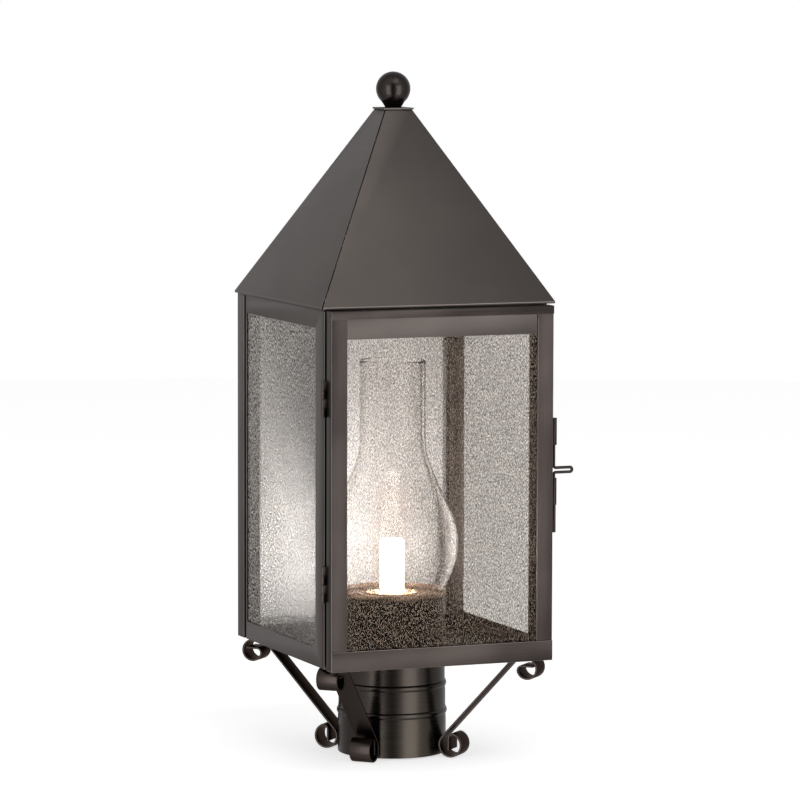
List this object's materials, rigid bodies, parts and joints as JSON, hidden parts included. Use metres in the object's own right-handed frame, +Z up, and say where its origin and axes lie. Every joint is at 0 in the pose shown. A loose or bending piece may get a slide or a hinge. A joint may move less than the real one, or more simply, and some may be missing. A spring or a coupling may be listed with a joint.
{
  "type": "post lantern",
  "caption": "Square glazed post lantern with a hinged door, wire slide bolt, sheet pyramid roof, ball finial, glass chimney and scrolled post fitter.",
  "frame": {"origin": "centre of the post fitter's mouth, on the post's axis", "axes": "+Z up along the post, -Y towards the door, +X towards the door's slide bolt"},
  "size_m": [0.1959, 0.1951, 0.5068],
  "materials": {
    "bronze": "brushed, dark bronze patina under satin lacquer",
    "roof_bronze": "brushed along the eaves, dark bronze patina",
    "ball_bronze": "smooth spun, satin dark bronze",
    "seeded_glass": "clear with fine seeds drawn upwards",
    "clear_glass": "clear blown",
    "bulb_glass": "clear blown",
    "plated_steel": "zinc plated",
    "socket_porcelain": "glazed porcelain",
    "bulb_cap": "rolled, satin",
    "filament": "phosphor coated strip"
  },
  "bodies": {
    "lantern": {"post_fitter": "bronze", "fitter_flange": "bronze", "set_screws": "plated_steel", "flange_rivets": "bronze", "scroll_front_left": "bronze", "scroll_front_right": "bronze", "scroll_rear_left": "bronze", "scroll_rear_right": "bronze", "floor_pan": "bronze", "corner_angle_left": "bronze", "corner_angle_right": "bronze", "side_frame_left": "bronze", "side_frame_right": "bronze", "rear_post_left": "bronze", "rear_post_right": "bronze", "rear_frame": "bronze", "roof_ring": "bronze", "roof_front": "roof_bronze", "roof_right": "roof_bronze", "roof_rear": "roof_bronze", "roof_left": "roof_bronze", "roof_cap": "roof_bronze", "finial_ball": "ball_bronze", "finial_stud": "plated_steel", "finial_nut": "plated_steel", "pane_left": "seeded_glass", "pane_right": "seeded_glass", "pane_rear": "seeded_glass", "pane_clips": "bronze", "hinge_fixed_upper": "bronze", "hinge_fixed_lower": "bronze", "hinge_pin_upper": "bronze", "hinge_pin_lower": "bronze", "bolt_keeper": "bronze", "pedestal_cup": "bronze", "gallery": "bronze", "chimney": "clear_glass", "lamp_socket": "socket_porcelain", "nipple": "plated_steel", "locknut": "plated_steel", "bulb_base": "bulb_cap", "bulb_glass": "bulb_glass", "bulb_filaments": "filament"},
    "door": {"door_stile_left": "bronze", "door_stile_right": "bronze", "door_top_rail": "bronze", "door_top_band": "bronze", "door_bottom_band": "bronze", "door_pane": "seeded_glass", "door_clips": "bronze", "hinge_door_upper": "bronze", "hinge_door_lower": "bronze", "bolt_guides": "bronze"},
    "bolt": {"slide_bolt": "bronze"}
  },
  "joints": [
    {"name": "door_hinge", "type": "hinge", "parent": "lantern", "child": "door", "pos_m": [-0.0887, -0.08685, 0.2068], "axis": [0, 0, -1], "range_deg": [0, 110]},
    {"name": "bolt_slide", "type": "slide", "parent": "door", "child": "bolt", "axis": [0, 0, 1], "range_m": [-0.0026, 0.015]}
  ]
}
